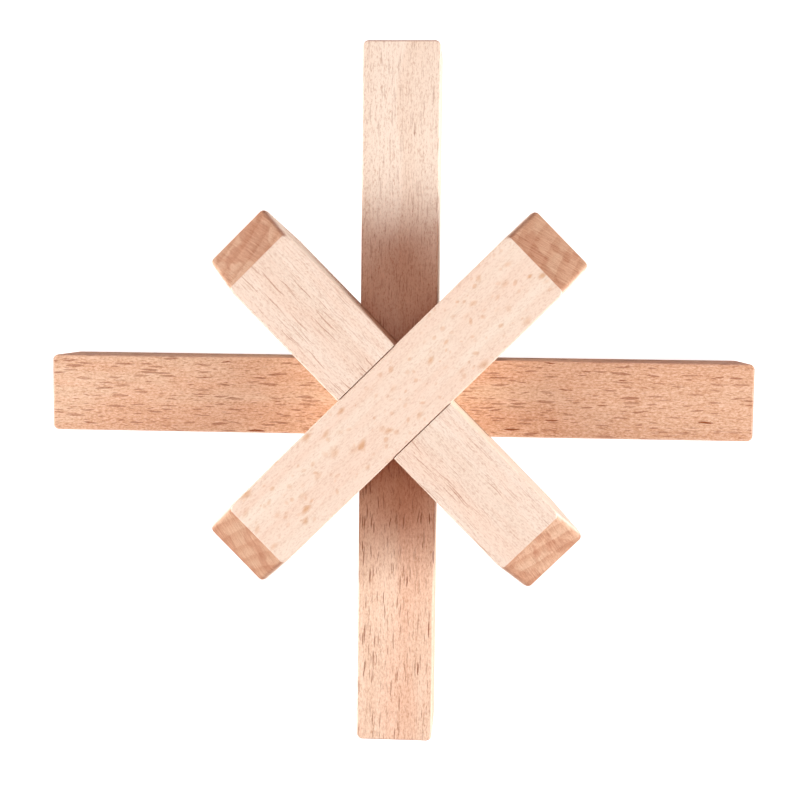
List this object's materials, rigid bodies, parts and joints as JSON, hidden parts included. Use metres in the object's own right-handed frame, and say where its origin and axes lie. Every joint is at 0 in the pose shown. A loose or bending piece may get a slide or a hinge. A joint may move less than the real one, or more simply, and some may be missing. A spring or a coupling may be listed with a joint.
{
  "type": "wooden burr puzzle",
  "caption": "Burr puzzle of notched square beech sticks that cross at one point: a long plus with shorter bevel-ended diagonals over it.",
  "frame": {"origin": "under the crossing of the sticks, in the plane that the puzzle lies on", "axes": "+X along the horizontal stick, +Y along the vertical stick, +Z from the backs of the long sticks to the faces of the diagonals"},
  "size_m": [0.138, 0.138, 0.027],
  "materials": {
    "horizontal_beech": "fine sanded bare beech, orange tan, dark ray flecks",
    "vertical_beech": "fine sanded bare beech, dark ray flecks",
    "lower_diagonal_beech": "fine sanded bare beech, pale, fine pore lines",
    "upper_diagonal_beech": "fine sanded bare beech, pale, soft mottled figure"
  },
  "bodies": {
    "horizontal_stick": {"horizontal_stick": "horizontal_beech"},
    "vertical_stick": {"vertical_stick": "vertical_beech"},
    "lower_diagonal_stick": {"lower_diagonal_stick": "lower_diagonal_beech"},
    "upper_diagonal_stick": {"upper_diagonal_stick": "upper_diagonal_beech"}
  },
  "joints": [
    {"name": "vertical_stick_lift", "type": "slide", "parent": "horizontal_stick", "child": "vertical_stick", "axis": [0, 0, 1], "range_m": [0, 0.02]},
    {"name": "lower_diagonal_lift", "type": "slide", "parent": "vertical_stick", "child": "lower_diagonal_stick", "axis": [0, 0, 1], "range_m": [0, 0.01]},
    {"name": "upper_diagonal_lift", "type": "slide", "parent": "lower_diagonal_stick", "child": "upper_diagonal_stick", "axis": [0, 0, 1], "range_m": [0, 0.02]}
  ]
}
